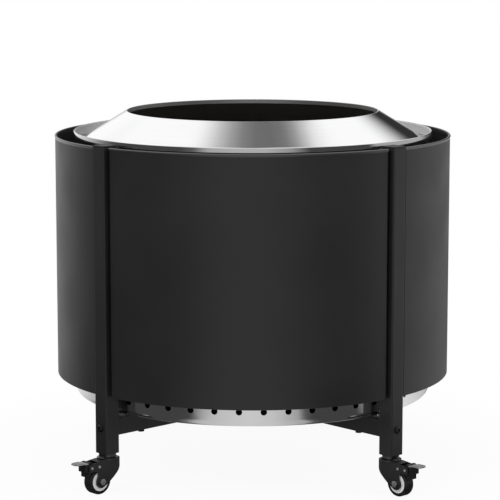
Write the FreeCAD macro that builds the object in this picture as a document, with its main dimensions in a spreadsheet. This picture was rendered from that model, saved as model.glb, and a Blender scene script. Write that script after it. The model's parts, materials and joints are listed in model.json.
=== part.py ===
import FreeCAD, Part

import math
import os

import Sketcher

# Smokeless fire pit on four casters, in millimetres. +Z is up, z = 0 is the ground under the
# wheels, the origin is under the centre of the drum and the front faces -Y.

DOC = FreeCAD.newDocument("fire_pit")

# Driving dimensions. Heights named _z are above the ground, and vent_turn is in degrees.
DRIVING_SIZES = {
    # Side panels: four curved sheets between the posts
    "shell_inset": 7,
    "shell_rise": 43.5,
    "shell_height": 461,
    "shell_sheet": 1.5,
    "panel_gap": 4,
    "panel_bend": 5,
    "panel_tab_bend": 2.5,
    "panel_tab_reach": 12,
    "hem_width": 3.6,
    "hem_height": 9,
    "hem_stop": 4,
    "hem_round": 1.2,
    # Posts: square tube with a plug at each end
    "post_side": 32,
    "post_wall": 2,
    "post_round": 3,
    "plug_clearance": 0.1,
    "cap_height": 3.7,
    "cap_plug_depth": 18,
    "cap_round": 1.5,
    "socket_depth": 30,
    # Crossed brace under the drum
    "rail_width": 25,
    "rail_height": 32,
    "rail_wall": 2,
    "rail_rise": 32.5,
    "rail_plug_length": 30,
    "cross_plate_margin": 12,
    "cross_plate_thick": 3,
    "cross_plate_round": 8,
    "cross_bolt_reach": 21.5,
    # Fasteners
    "post_bolt_shank": 4,
    "post_bolt_head": 7,
    "post_bolt_head_height": 4,
    "post_bolt_socket": 2.4,
    "drum_bolt_shank": 4,
    "drum_bolt_head": 6.5,
    "drum_bolt_head_height": 5.5,
    "cross_bolt_shank": 3,
    "cross_bolt_head": 5,
    "cross_bolt_head_height": 4,
    "cross_nut_gap": 0.7,
    "panel_screw_shank": 2,
    "panel_screw_head": 4,
    "panel_screw_head_height": 2.4,
    "panel_screw_end": 60,
    "panel_screw_inset": 6,
    "hole_clearance": 0.1,
    # Drum: outer wall and floor in one, standing on spacers
    "drum_spacer_height": 3.5,
    "drum_spacer_radius": 12,
    "drum_bolt_inset": 9.5,
    "drum_radius": 344.4,
    "drum_post_gap": 10.6,
    "drum_proud": 7.6,
    "drum_sheet": 1.2,
    "drum_corner": 12,
    "drum_bead": 1.9,
    "vent_radius": 5.9,
    "vent_rise": 28.4,
    "vent_turn": 1.14,
    # Burn chamber inside the drum
    "air_space": 44.4,
    "chamber_sheet": 1.5,
    "chamber_flange": 15,
    "chamber_ledge": 4,
    "ledge_height": 3,
    "intake_radius": 8,
    "intake_rise": 26,
    "jet_radius": 4,
    "jet_drop": 22,
    "jet_pitch": 20,
    "floor_seat_width": 7,
    "floor_step": 6,
    "floor_slope": 8,
    "floor_flange": 16,
    # Gallery ring that closes the air space, and the flame ring that rests on it
    "gallery_drop": 21,
    "gallery_sheet": 1.5,
    "gallery_flange": 14,
    "ring_sheet": 1.5,
    "ring_play": 2.2,
    "ring_run": 92.4,
    "ring_rise": 37.5,
    "ring_foot_width": 6,
    "ring_lip": 8,
    "ring_lip_round": 0.6,
    # Fire grate and ash pan
    "grate_play": 10.6,
    "grate_rim": 22,
    "grate_thick": 4,
    "grate_hole": 7,
    "seat_play": 3,
    "pan_play": 17,
    "pan_flare": 16,
    "pan_headroom": 6,
    "pan_height": 48,
    "pan_sheet": 1.2,
    "pan_rim": 5,
    "pan_bar_width": 18,
    "pan_bar_thick": 2,
    "pan_bar_round": 7,
    # Casters
    "wheel_radius": 25,
    "wheel_trail": 25,
    "tread_width": 20,
    "tread_round": 3.5,
    "tread_thick": 6.5,
    "hub_inset": 0.5,
    "hub_rim": 7.5,
    "hub_recess_depth": 5,
    "hub_boss_wall": 3.5,
    "hub_side_play": 0.5,
    "axle_radius": 3,
    "axle_head_step": 3.6,
    "axle_head_height": 4,
    "running_clearance": 0.05,
    "moulding_clearance": 0.1,
    "fork_headroom": 14,
    "fork_sheet": 2,
    "fork_gap": 1.5,
    "fork_nose_reach": 5,
    "fork_nose_bend": 120,
    "fork_lead_drop": 11.5,
    "fork_tail_reach": 29,
    "fork_tail_drop": 3.5,
    "fork_tail_height": 14.5,
    "fork_lug_margin": 5.4,
    "fork_arch_gap": 4,
    "fork_top_thick": 2.5,
    "fork_open_reach": 6,
    "crown_radius": 20,
    "stem_radius": 5,
    "stem_head": 8,
    "stem_head_height": 2.5,
    "race_gap": 0.3,
    "race_height": 4,
    "race_taper": 4,
    "race_neck": 5.7,
    "stem_reach": 26,
    "rivet_radius": 2,
    "rivet_head_step": 0.7,
    "rivet_head_height": 1,
    "pedal_pivot_reach": 23,
    "pedal_pivot_drop": 10,
    "spring_pin_reach": 5.5,
    "spring_pin_drop": 10,
    "spring_pin_radius": 2,
    "pedal_side_play": 1,
    "pedal_sheet": 2.5,
    "pedal_start_reach": 28.5,
    "pedal_step_reach": 36.5,
    "pedal_tip_reach": 56.5,
    "pedal_tip_rise": 1.2,
    "pedal_tip_round": 7,
    "shoe_top_drop": 2.5,
    "shoe_ridge": 0.8,
    "shoe_back_drop": 3,
    "shoe_back_reach": 17,
    "shoe_shelf_inset": 0.5,
    "shoe_shelf_drop": 17,
    "shoe_reach": 30,
    "shoe_low_rise": 11.2,
    "shoe_gap": 4,
    # How far a cutting shape runs past what it cuts
    "overrun": 5,
}

# Counts of repeated holes
VENT_COUNT = 48
INTAKE_COUNT = 24
JET_COUNT = 60
JET_ROWS = 2
GRATE_RINGS = 6
GRATE_HOLES_PER_RING = 6

# The fork's narrow neck above the lug, as shares of the lug's radius, and the start of the flat
# edge over the wheel, as a share of the arch's run
NECK_SHARES = (0.62, 1.15)
ARCH_START_SHARE = 0.62

# How far the step of the brake lever runs out, as a share of its drop
PEDAL_SLOPE_SHARE = 0.9

POSTS = {"front_left": 225, "front_right": 315, "rear_right": 45, "rear_left": 135}
PANELS = {"front": 270, "right": 0, "back": 90, "left": 180}


class Size:
    """A number together with the expression that gives it from the spreadsheet."""

    def __init__(self, value, text):
        self.value = value
        self.text = text

    def _join(self, sign, other, value):
        return Size(value, f"({self.text} {sign} {as_size(other).text})")

    def __add__(self, other):
        return self._join("+", other, self.value + as_size(other).value)

    def __sub__(self, other):
        return self._join("-", other, self.value - as_size(other).value)

    def __mul__(self, other):
        return self._join("*", other, self.value * as_size(other).value)

    def __truediv__(self, other):
        return self._join("/", other, self.value / as_size(other).value)

    def __neg__(self):
        return Size(-self.value, f"(-{self.text})")

    def __rmul__(self, other):
        return as_size(other) * self

    def __rsub__(self, other):
        return as_size(other) - self


def as_size(number):
    return number if isinstance(number, Size) else Size(float(number), repr(number))


def root(size):
    return Size(math.sqrt(size.value), f"sqrt({size.text})")


def cosine(degrees):
    return Size(math.cos(math.radians(degrees.value)), f"cos({degrees.text})")


def sine(degrees):
    return Size(math.sin(math.radians(degrees.value)), f"sin({degrees.text})")


def arcsine(ratio):
    return Size(math.degrees(math.asin(ratio.value)), f"(asin({ratio.text}) / 1deg)")


def polar(radius, degrees):
    angle = as_size(degrees)
    return radius * cosine(angle), radius * sine(angle)


class Sheet:
    """The spreadsheet's cells, read back as sizes by their aliases."""

    def __init__(self, cells):
        self._sheet = DOC.addObject("Spreadsheet::Sheet", "sizes")
        for row, (alias, number) in enumerate(cells.items(), start=1):
            self._sheet.set(f"A{row}", alias)
            self._sheet.set(f"B{row}", str(number))
            self._sheet.setAlias(f"B{row}", alias)
        DOC.recompute()

    def __getattr__(self, alias):
        return Size(float(self._sheet.get(alias)), f"sizes.{alias}")


D = Sheet(DRIVING_SIZES)
ZERO = Size(0.0, "0")

# Casters: heights of the fork and the race, and reaches from the swivel's axis
WHEEL_Z = D.wheel_radius
FORK_Z = D.wheel_radius * 2 + D.fork_headroom
FORK_INNER = D.tread_width / 2 + D.fork_gap
FORK_OUTER = FORK_INNER + D.fork_sheet
FORK_TOP_UNDER = FORK_Z - D.fork_top_thick
FORK_LEAD = D.crown_radius + D.fork_nose_reach
FORK_TAIL = D.wheel_trail + D.fork_tail_reach
STEM_BORE = D.stem_radius + D.running_clearance
AXLE_HEAD = D.axle_radius + D.axle_head_step
HUB_RADIUS = D.wheel_radius - D.tread_thick
PEDAL_WIDTH = (FORK_INNER - D.pedal_side_play) * 2
PEDAL_PIVOT_OUT = D.wheel_trail + D.pedal_pivot_reach
PEDAL_PIVOT_Z = FORK_Z - D.pedal_pivot_drop
PEDAL_START_OUT = D.wheel_trail + D.pedal_start_reach
PEDAL_STEP_OUT = D.wheel_trail + D.pedal_step_reach
SPRING_PIN_OUT = D.wheel_trail + D.spring_pin_reach
SPRING_PIN_Z = FORK_Z - D.spring_pin_drop
SHOE_TOP_Z = FORK_Z - D.shoe_top_drop

# Heights and radii that several pieces share
POST_Z = FORK_Z + D.race_gap + D.race_height + D.race_neck
RAIL_Z = POST_Z + D.rail_rise
RAIL_TOP = RAIL_Z + D.rail_height
RAIL_MIDDLE_Z = RAIL_Z + D.rail_height / 2
SHELL_Z = RAIL_TOP + D.shell_rise
SHELL_TOP = SHELL_Z + D.shell_height
POST_TOP = SHELL_TOP
POST_HEIGHT = POST_TOP - POST_Z
POST_INNER_FACE = D.drum_radius + D.drum_post_gap
POST_CENTRE = POST_INNER_FACE + D.post_side / 2
POST_BORE = D.post_side - D.post_wall * 2
SHELL_RADIUS = POST_CENTRE + D.post_side / 2 - D.shell_inset
CROSS_BOLT_RADIUS = D.rail_width / 2 + D.cross_bolt_reach
PANEL_SCREW_SIDE = D.post_side / 2 - D.panel_screw_inset
DRUM_Z = RAIL_TOP + D.drum_spacer_height
DRUM_FLOOR = DRUM_Z + D.drum_sheet
DRUM_TOP = SHELL_TOP + D.drum_proud
DRUM_BORE = D.drum_radius - D.drum_sheet
VENT_Z = DRUM_Z + D.vent_rise
GALLERY_TOP = DRUM_TOP - D.gallery_drop
CHAMBER_TOP = GALLERY_TOP - D.gallery_sheet
CHAMBER_RADIUS = D.drum_radius - D.air_space
CHAMBER_BORE = CHAMBER_RADIUS - D.chamber_sheet
DRUM_BOLT_CENTRE = CHAMBER_BORE - D.drum_bolt_inset
RING_FOOT = DRUM_BORE - D.ring_play - D.ring_foot_width
RING_MOUTH = RING_FOOT - D.ring_run
MOUTH_Z = DRUM_TOP + D.ring_rise
GRATE_RADIUS = RING_MOUTH - D.grate_play
FLOOR_OPENING = GRATE_RADIUS - D.floor_seat_width
PAN_RADIUS = FLOOR_OPENING - D.pan_play
FLOOR_Z = DRUM_FLOOR + D.pan_height + D.pan_bar_thick + D.pan_headroom
GRATE_SEAT_Z = FLOOR_Z + D.chamber_sheet


def set_sizes(item, **settings):
    """Sets properties, binding each Size to its expression."""
    for name, setting in settings.items():
        if isinstance(setting, Size):
            setattr(item, name, setting.value)
            item.setExpression(name, setting.text)
        else:
            setattr(item, name, setting)
    return item


def place(item, x=ZERO, y=ZERO, z=ZERO, turn=0, tilt=None):
    """Turns an object about Z, after an optional tilt, and moves it."""
    rotation = FreeCAD.Rotation(FreeCAD.Vector(0, 0, 1), turn)
    if tilt is not None:
        axis, angle = tilt
        rotation = rotation.multiply(FreeCAD.Rotation(FreeCAD.Vector(*axis), angle))
    item.Placement = FreeCAD.Placement(FreeCAD.Vector(x.value, y.value, z.value), rotation)
    for axis_name, size in (("x", x), ("y", y), ("z", z)):
        item.setExpression(f"Placement.Base.{axis_name}", size.text)
    return item


def new_body(label):
    body = DOC.addObject("PartDesign::Body", label)
    body.Label = label
    return body


def origin_feature(body, role):
    return next(item for item in body.Origin.OriginFeatures if item.Role == role)


def new_sketch(body, plane, offset=None, spin=None):
    """A sketch on one of the body's own planes, offset along its normal, or round Z by spin."""
    sketch = body.newObject("Sketcher::SketchObject", "sketch")
    sketch.AttachmentSupport = (origin_feature(body, plane), [""])
    sketch.MapMode = "FlatFace"
    if offset is None:
        return sketch
    angle = as_size(0) if spin is None else spin
    aside, along = offset * sine(angle), offset * cosine(angle)
    upright = FreeCAD.Vector(0, 1, 0)
    sketch.AttachmentOffset = FreeCAD.Placement(
        FreeCAD.Vector(aside.value, 0, along.value), FreeCAD.Rotation(upright, angle.value))
    sketch.setExpression("AttachmentOffset.Base.x", aside.text)
    sketch.setExpression("AttachmentOffset.Base.z", along.text)
    return sketch


def bind(sketch, constraint, size):
    index = sketch.addConstraint(constraint)
    sketch.setExpression(f"Constraints[{index}]", size.text)


def pin_point(sketch, edge, end, x, y):
    """Fixes an end of a sketch edge at named distances from the sketch's origin."""
    for kind, size, axis in (("DistanceX", x, -2), ("DistanceY", y, -1)):
        if size is ZERO:
            sketch.addConstraint(Sketcher.Constraint("PointOnObject", edge, end, axis))
        else:
            bind(sketch, Sketcher.Constraint(kind, -1, 1, edge, end, size.value), size)


def arc_between(start, finish, radius, turn):
    """The short arc from start to finish; turn is 1 to the left and -1 to the right."""
    chord = finish - start
    half = chord.Length / 2
    rise = math.sqrt(max(radius * radius - half * half, 0))
    left = FreeCAD.Vector(-chord.y, chord.x, 0).normalize()
    centre = (start + finish) * 0.5 + left * (turn * rise)
    first, last = (start, finish) if turn > 0 else (finish, start)
    angles = [math.atan2(p.y - centre.y, p.x - centre.x) for p in (first, last)]
    circle = Part.Circle(centre, FreeCAD.Vector(0, 0, 1), radius)
    return Part.ArcOfCircle(circle, angles[0], angles[1])


def draw_outline(sketch, corners):
    """A closed outline. A corner is (x, y), or (x, y, radius, turn) where an arc leaves it."""
    first_edge = sketch.GeometryCount
    points = [FreeCAD.Vector(corner[0].value, corner[1].value, 0) for corner in corners]
    ends = []
    for index, corner in enumerate(corners):
        start = points[index]
        finish = points[(index + 1) % len(points)]
        edge = first_edge + index
        if len(corner) == 2:
            sketch.addGeometry(Part.LineSegment(start, finish))
            ends.append((edge, 1, 2))
        else:
            radius, turn = corner[2], corner[3]
            sketch.addGeometry(arc_between(start, finish, radius.value, turn))
            ends.append((edge, 1, 2) if turn > 0 else (edge, 2, 1))
    for index, (edge, start_end, _) in enumerate(ends):
        before, _, finish_end = ends[index - 1]
        sketch.addConstraint(Sketcher.Constraint("Coincident", before, finish_end, edge, start_end))
    for (edge, start_end, _), corner in zip(ends, corners):
        pin_point(sketch, edge, start_end, corner[0], corner[1])
        if len(corner) > 2:
            bind(sketch, Sketcher.Constraint("Radius", edge, corner[2].value), corner[2])
    return sketch


def draw_rectangle(sketch, x_low, y_low, x_high, y_high):
    return draw_outline(
        sketch, [(x_low, y_low), (x_high, y_low), (x_high, y_high), (x_low, y_high)])


def draw_square(sketch, side):
    half = side / 2
    return draw_rectangle(sketch, -half, -half, half, half)


def draw_circle(sketch, x, y, radius):
    edge = sketch.GeometryCount
    centre = FreeCAD.Vector(x.value, y.value, 0)
    sketch.addGeometry(Part.Circle(centre, FreeCAD.Vector(0, 0, 1), radius.value))
    pin_point(sketch, edge, 3, x, y)
    bind(sketch, Sketcher.Constraint("Radius", edge, radius.value), radius)
    return sketch


def pad(body, sketch, length, both_ways=False):
    item = body.newObject("PartDesign::Pad", "pad")
    item.Profile = sketch
    if both_ways:
        item.SideType = "Symmetric"
    return set_sizes(item, Length=length)


def cut(body, sketch, length, reverse=False, both_ways=False):
    """A pocket, compared with the body before it so that one that cuts nothing is noticed."""
    DOC.recompute()
    before = body.Shape.Volume
    item = body.newObject("PartDesign::Pocket", "pocket")
    item.Profile = sketch
    item.Reversed = reverse
    if both_ways:
        item.SideType = "Symmetric"
    set_sizes(item, Length=length)
    DOC.recompute()
    if body.Shape.Volume >= before:
        raise RuntimeError(f"a pocket of {body.Label} cuts nothing")
    return item


def turned(body, corners, sector=None, plane="XZ_Plane"):
    """Turns an outline about the plane's second axis, all round or over a sector."""
    sketch = draw_outline(new_sketch(body, plane), corners)
    item = body.newObject("PartDesign::Revolution", "turn")
    item.Profile = sketch
    item.ReferenceAxis = (sketch, ["V_Axis"])
    if sector is None:
        item.Angle = 360
    else:
        item.Midplane = True
        set_sizes(item, Angle=sector)
    return item


def repeat_round(body, feature, count):
    item = body.newObject("PartDesign::PolarPattern", "pattern")
    item.Originals = [feature]
    item.Axis = (origin_feature(body, "Z_Axis"), [""])
    item.Angle = 360
    item.Occurrences = count
    body.Tip = item
    return item


def round_edges(body, radius, wanted):
    """Fillets the edges of the body for which wanted(edge) is true."""
    DOC.recompute()
    base = body.Tip
    names = [f"Edge{number}" for number, edge in enumerate(base.Shape.Edges, start=1)
             if wanted(edge)]
    if not names:
        raise RuntimeError(f"no edge of {body.Label} to round")
    item = body.newObject("PartDesign::Fillet", "fillet")
    item.Base = (base, names)
    return set_sizes(item, Radius=radius)


def is_upright(edge):
    if not isinstance(edge.Curve, Part.Line):
        return False
    return abs(edge.Curve.Direction.z) > 0.999


def lies_at(edge, z):
    box = edge.BoundBox
    return abs(box.ZMin - z.value) < 1e-4 and abs(box.ZMax - z.value) < 1e-4


def group(label, members):
    """Several alike solids in one node."""
    item = DOC.addObject("Part::Compound", label)
    item.Label = label
    item.Links = members
    return item


def rod(radius, length):
    return set_sizes(DOC.addObject("Part::Cylinder", "rod"), Radius=radius, Height=length)


def hexagon(radius, length):
    return set_sizes(
        DOC.addObject("Part::Prism", "hexagon"), Polygon=6, Circumradius=radius, Height=length)


def fused(shapes):
    item = DOC.addObject("Part::MultiFuse", "fuse")
    item.Shapes = shapes
    return item


def subtracted(base, tool):
    item = DOC.addObject("Part::Cut", "cut")
    item.Base = base
    item.Tool = tool
    return item


def button_screw(shank, length, head, head_height, socket):
    """A round-headed screw pointing down, its head on z = 0, with a hexagon socket."""
    body = new_body("screw")
    corner = head_height / 2
    turned(body, [
        (ZERO, -length), (shank, -length), (shank, ZERO), (head, ZERO), (head, corner),
        (head - corner, head_height), (ZERO, head_height)])
    sketch = new_sketch(body, "XY_Plane", offset=head_height)
    draw_circle(sketch, ZERO, ZERO, socket)
    cut(body, sketch, head_height / 2)
    return body


def hex_bolt(shank, length, head, head_height):
    """A hex bolt pointing up, its head hanging below z = 0."""
    cap = place(hexagon(head, head_height), z=-head_height)
    return fused([cap, rod(shank, length)])


def hex_nut(thread, radius, height):
    hole = place(rod(thread, height + D.overrun * 2), z=-D.overrun)
    return subtracted(hexagon(radius, height), hole)


def washer(hole_radius, radius, height):
    hole = place(rod(hole_radius, height + D.overrun * 2), z=-D.overrun)
    return subtracted(rod(radius, height), hole)


# Frame

def make_post(corner, turn):
    """A square tube, with holes for the brace bolt and for the panels' screws."""
    body = new_body(f"post_{corner}")
    sketch = new_sketch(body, "XY_Plane", offset=POST_Z)
    draw_square(sketch, D.post_side)
    pad(body, sketch, POST_HEIGHT)
    round_edges(body, D.post_round, is_upright)
    bore = new_sketch(body, "XY_Plane", offset=POST_Z)
    draw_square(bore, POST_BORE)
    cut(body, bore, POST_HEIGHT, reverse=True)
    bolt_hole = new_sketch(body, "YZ_Plane")
    draw_circle(bolt_hole, ZERO, RAIL_MIDDLE_Z, D.post_bolt_shank + D.hole_clearance)
    cut(body, bolt_hole, D.post_side + D.overrun * 2, both_ways=True)
    screw_holes = new_sketch(body, "YZ_Plane")
    for z in panel_screw_heights():
        for side in (-PANEL_SCREW_SIDE, PANEL_SCREW_SIDE):
            draw_circle(screw_holes, side, z, D.panel_screw_shank + D.hole_clearance)
    cut(body, screw_holes, D.post_side / 2 + D.overrun)
    x, y = polar(POST_CENTRE, turn)
    place(body, x, y, turn=turn)


def make_post_cap(turn):
    """A flat plug that closes the top of a post."""
    body = new_body("post_cap")
    top = new_sketch(body, "XY_Plane", offset=POST_TOP)
    draw_square(top, D.post_side)
    pad(body, top, D.cap_height)
    round_edges(body, D.post_round, is_upright)
    round_edges(body, D.cap_round, lambda edge: lies_at(edge, POST_TOP + D.cap_height))
    plug = new_sketch(body, "XY_Plane", offset=POST_TOP - D.cap_plug_depth)
    draw_square(plug, POST_BORE - D.plug_clearance * 2)
    pad(body, plug, D.cap_plug_depth)
    x, y = polar(POST_CENTRE, turn)
    return place(body, x, y, turn=turn)


def make_caster_socket(turn):
    """The block in the bottom of a post that the caster's stem screws into."""
    body = new_body("caster_socket")
    sketch = new_sketch(body, "XY_Plane", offset=POST_Z)
    draw_square(sketch, POST_BORE - D.plug_clearance * 2)
    pad(body, sketch, D.socket_depth)
    bore = new_sketch(body, "XY_Plane", offset=POST_Z)
    draw_circle(bore, ZERO, ZERO, D.stem_radius + D.hole_clearance)
    cut(body, bore, D.socket_depth, reverse=True)
    x, y = polar(POST_CENTRE, turn)
    return place(body, x, y, turn=turn)


def draw_rail_section(body, offset):
    sketch = new_sketch(body, "YZ_Plane", offset=offset)
    half = D.rail_width / 2
    draw_rectangle(sketch, -half, RAIL_Z, half, RAIL_TOP)
    inner = half - D.rail_wall
    draw_rectangle(sketch, -inner, RAIL_Z + D.rail_wall, inner, RAIL_TOP - D.rail_wall)
    return sketch


def drill_rail(body, sides):
    """The holes through a rail for the drum's bolt and the cross plate's bolt."""
    sketch = new_sketch(body, "XY_Plane", offset=RAIL_Z)
    for side in sides:
        draw_circle(sketch, DRUM_BOLT_CENTRE * side, ZERO, D.drum_bolt_shank + D.hole_clearance)
        draw_circle(sketch, CROSS_BOLT_RADIUS * side, ZERO, D.cross_bolt_shank + D.hole_clearance)
    cut(body, sketch, (D.rail_height + D.overrun) * 2, both_ways=True)


def make_long_rail():
    """The rail that runs right across, from the rear right post to the front left one."""
    body = new_body("brace_rail_long")
    pad(body, draw_rail_section(body, ZERO), POST_INNER_FACE * 2, both_ways=True)
    drill_rail(body, (1, -1))
    place(body, turn=POSTS["rear_right"])


def make_short_rail(corner):
    """Half of the crossing rail: it butts against the side of the long one."""
    body = new_body(f"brace_rail_{corner}")
    start = D.rail_width / 2
    pad(body, draw_rail_section(body, start), POST_INNER_FACE - start)
    drill_rail(body, (1,))
    place(body, turn=POSTS[corner])


def make_cross_plate():
    """The plate that joins the rails under the place where they cross."""
    body = new_body("brace_cross_plate")
    sketch = new_sketch(body, "XY_Plane", offset=RAIL_Z - D.cross_plate_thick)
    draw_square(sketch, (CROSS_BOLT_RADIUS + D.cross_plate_margin) * 2)
    pad(body, sketch, D.cross_plate_thick)
    round_edges(body, D.cross_plate_round, is_upright)
    hole = new_sketch(body, "XY_Plane", offset=RAIL_Z)
    draw_circle(hole, CROSS_BOLT_RADIUS, ZERO, D.cross_bolt_shank + D.hole_clearance)
    drilled = cut(body, hole, D.cross_plate_thick)
    repeat_round(body, drilled, len(POSTS))
    place(body, turn=POSTS["rear_right"])


def make_rail_plug(turn):
    """The block in a rail's end that the post bolt screws into."""
    body = new_body("rail_plug")
    sketch = new_sketch(body, "YZ_Plane", offset=POST_INNER_FACE - D.rail_plug_length)
    half = D.rail_width / 2 - D.rail_wall - D.plug_clearance
    rise = D.rail_wall + D.plug_clearance
    draw_rectangle(sketch, -half, RAIL_Z + rise, half, RAIL_TOP - rise)
    pad(body, sketch, D.rail_plug_length)
    bore = new_sketch(body, "YZ_Plane", offset=POST_INNER_FACE)
    draw_circle(bore, ZERO, RAIL_MIDDLE_Z, D.post_bolt_shank + D.hole_clearance)
    cut(body, bore, D.rail_plug_length)
    return place(body, turn=turn)


def make_post_bolt(turn):
    """A button-head bolt through a post into the rail's end."""
    length = D.post_side + D.rail_plug_length
    screw = button_screw(D.post_bolt_shank, length, D.post_bolt_head,
                         D.post_bolt_head_height, D.post_bolt_socket)
    x, y = polar(POST_CENTRE + D.post_side / 2, turn)
    return place(screw, x, y, RAIL_MIDDLE_Z, turn=turn, tilt=((0, 1, 0), 90))


def make_cross_bolts():
    """Bolts up through the cross plate and the rails, each with a thin nut under the drum."""
    solids = []
    low = RAIL_Z - D.cross_plate_thick
    nut_height = D.drum_spacer_height - D.cross_nut_gap
    for turn in POSTS.values():
        x, y = polar(CROSS_BOLT_RADIUS, turn)
        bolt = hex_bolt(D.cross_bolt_shank, RAIL_TOP - low + nut_height,
                        D.cross_bolt_head, D.cross_bolt_head_height)
        solids.append(place(bolt, x, y, low, turn=turn))
        nut = hex_nut(D.cross_bolt_shank + D.hole_clearance, D.cross_bolt_head, nut_height)
        solids.append(place(nut, x, y, RAIL_TOP, turn=turn))
    group("brace_cross_bolts", solids)


def make_drum_bolts():
    """Bolts up through the rails, spacers and drum floor, each with its nut."""
    solids = []
    for turn in POSTS.values():
        x, y = polar(DRUM_BOLT_CENTRE, turn)
        grip = DRUM_FLOOR - RAIL_Z
        bolt = hex_bolt(D.drum_bolt_shank, grip + D.drum_bolt_head_height + D.drum_sheet,
                        D.drum_bolt_head, D.drum_bolt_head_height)
        solids.append(place(bolt, x, y, RAIL_Z, turn=turn))
        nut = hex_nut(D.drum_bolt_shank + D.hole_clearance, D.drum_bolt_head,
                      D.drum_bolt_head_height)
        solids.append(place(nut, x, y, DRUM_FLOOR, turn=turn))
    group("drum_bolts", solids)


def make_drum_spacers():
    solids = []
    for turn in POSTS.values():
        x, y = polar(DRUM_BOLT_CENTRE, turn)
        spacer = washer(D.drum_bolt_shank + D.hole_clearance, D.drum_spacer_radius,
                        D.drum_spacer_height)
        solids.append(place(spacer, x, y, RAIL_TOP, turn=turn))
    group("drum_spacers", solids)


# Side panels

def panel_edge_corners():
    """The section of a panel's folded end beside the post at +45 degrees."""
    half_side = D.post_side / 2
    beside = half_side + D.panel_gap
    bend = D.panel_bend
    sheet = D.shell_sheet
    bend_arm = SHELL_RADIUS - bend
    bend_along = root(bend_arm * bend_arm - (beside + bend) * (beside + bend))
    tab_bend = D.panel_tab_bend
    tab_end = half_side - D.panel_tab_reach
    behind = POST_INNER_FACE
    slant = cosine(as_size(45))

    def at(along, aside):
        return (along + aside) * slant, (along - aside) * slant

    def on_skin(radius):
        return at(bend_along * radius / bend_arm, (beside + bend) * radius / bend_arm)

    return [
        on_skin(SHELL_RADIUS) + (bend, 1),
        at(bend_along, beside),
        at(behind + tab_bend, beside) + (tab_bend, -1),
        at(behind, beside - tab_bend),
        at(behind, tab_end),
        at(behind - sheet, tab_end),
        at(behind - sheet, beside - tab_bend) + (tab_bend + sheet, 1),
        at(behind + tab_bend, beside + sheet),
        at(bend_along, beside + sheet) + (bend - sheet, -1),
        on_skin(SHELL_RADIUS - sheet),
    ]


def panel_corners():
    """The whole section of a panel centred on +X: outer skin, folded end, inner skin, other end."""
    upper = panel_edge_corners()
    skin = upper[-1] + (SHELL_RADIUS - D.shell_sheet, -1)
    lower = []
    for index in range(len(upper) - 1, -1, -1):
        x, y = upper[index][:2]
        # An arc that left a corner on one end leaves the corner after it on the other.
        arc = upper[index - 1][2:] if index > 0 else (SHELL_RADIUS, 1)
        lower.append((x, -y) + tuple(arc))
    return upper[:-1] + [skin] + lower


def make_panel(side, turn):
    """A curved sheet with ends folded in beside the posts and hemmed top and bottom edges."""
    body = new_body(f"side_panel_{side}")
    rounding = D.hem_round
    sheet_top = SHELL_TOP - rounding
    section = new_sketch(body, "XY_Plane", offset=SHELL_Z)
    draw_outline(section, panel_corners())
    pad(body, section, D.shell_height - rounding)
    # The hems stop short of the folded ends.
    edge_offset = D.post_side / 2 + D.panel_gap + D.panel_bend + D.hem_stop
    sector = (45 - arcsine(edge_offset / SHELL_RADIUS)) * 2
    outer = SHELL_RADIUS
    middle = outer - D.shell_sheet / 2
    hem = outer - D.hem_width
    turned(body, [
        (hem, SHELL_TOP - D.hem_height), (middle, SHELL_TOP - D.hem_height), (middle, sheet_top),
        (outer, sheet_top, rounding, 1), (outer - rounding, SHELL_TOP),
        (hem + rounding, SHELL_TOP, rounding, 1), (hem, sheet_top)], sector=sector)
    low = SHELL_Z + D.hem_height
    turned(body, [(hem, SHELL_Z), (middle, SHELL_Z), (middle, low), (hem, low)], sector=sector)
    for post_angle, side_sign in ((45, -1), (-45, 1)):
        holes = new_sketch(body, "YZ_Plane", offset=POST_INNER_FACE, spin=as_size(post_angle))
        for z in panel_screw_heights():
            draw_circle(holes, PANEL_SCREW_SIDE * side_sign, z,
                        D.panel_screw_shank + D.hole_clearance)
        cut(body, holes, (D.shell_sheet + D.hole_clearance) * 2, both_ways=True)
    place(body, turn=turn)


def panel_screw_heights():
    return (SHELL_Z + D.panel_screw_end, SHELL_TOP - D.panel_screw_end)


def make_panel_screws():
    """Screws through the folded tabs of the panels into the inner faces of the posts."""
    solids = []
    for turn in POSTS.values():
        for side in (-PANEL_SCREW_SIDE, PANEL_SCREW_SIDE):
            for z in panel_screw_heights():
                length = D.shell_sheet + D.post_wall * 2
                screw = button_screw(D.panel_screw_shank, length, D.panel_screw_head,
                                     D.panel_screw_head_height, D.panel_screw_shank / 2)
                radius = POST_INNER_FACE - D.shell_sheet
                along_x, along_y = polar(radius, turn)
                aside_x, aside_y = polar(side, turn + 90)
                solids.append(place(screw, along_x + aside_x, along_y + aside_y, z,
                                    turn=turn, tilt=((0, 1, 0), -90)))
    group("panel_screws", solids)


# Drum and burn chamber

def drill_round(body, z, radius, wall_radius, count, spin=None):
    """A ring of radial holes through a wall that stands round Z."""
    sketch = new_sketch(body, "YZ_Plane", offset=wall_radius, spin=spin)
    draw_circle(sketch, ZERO, z, radius)
    drilled = cut(body, sketch, D.overrun * 2, both_ways=True)
    return repeat_round(body, drilled, count)


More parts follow.
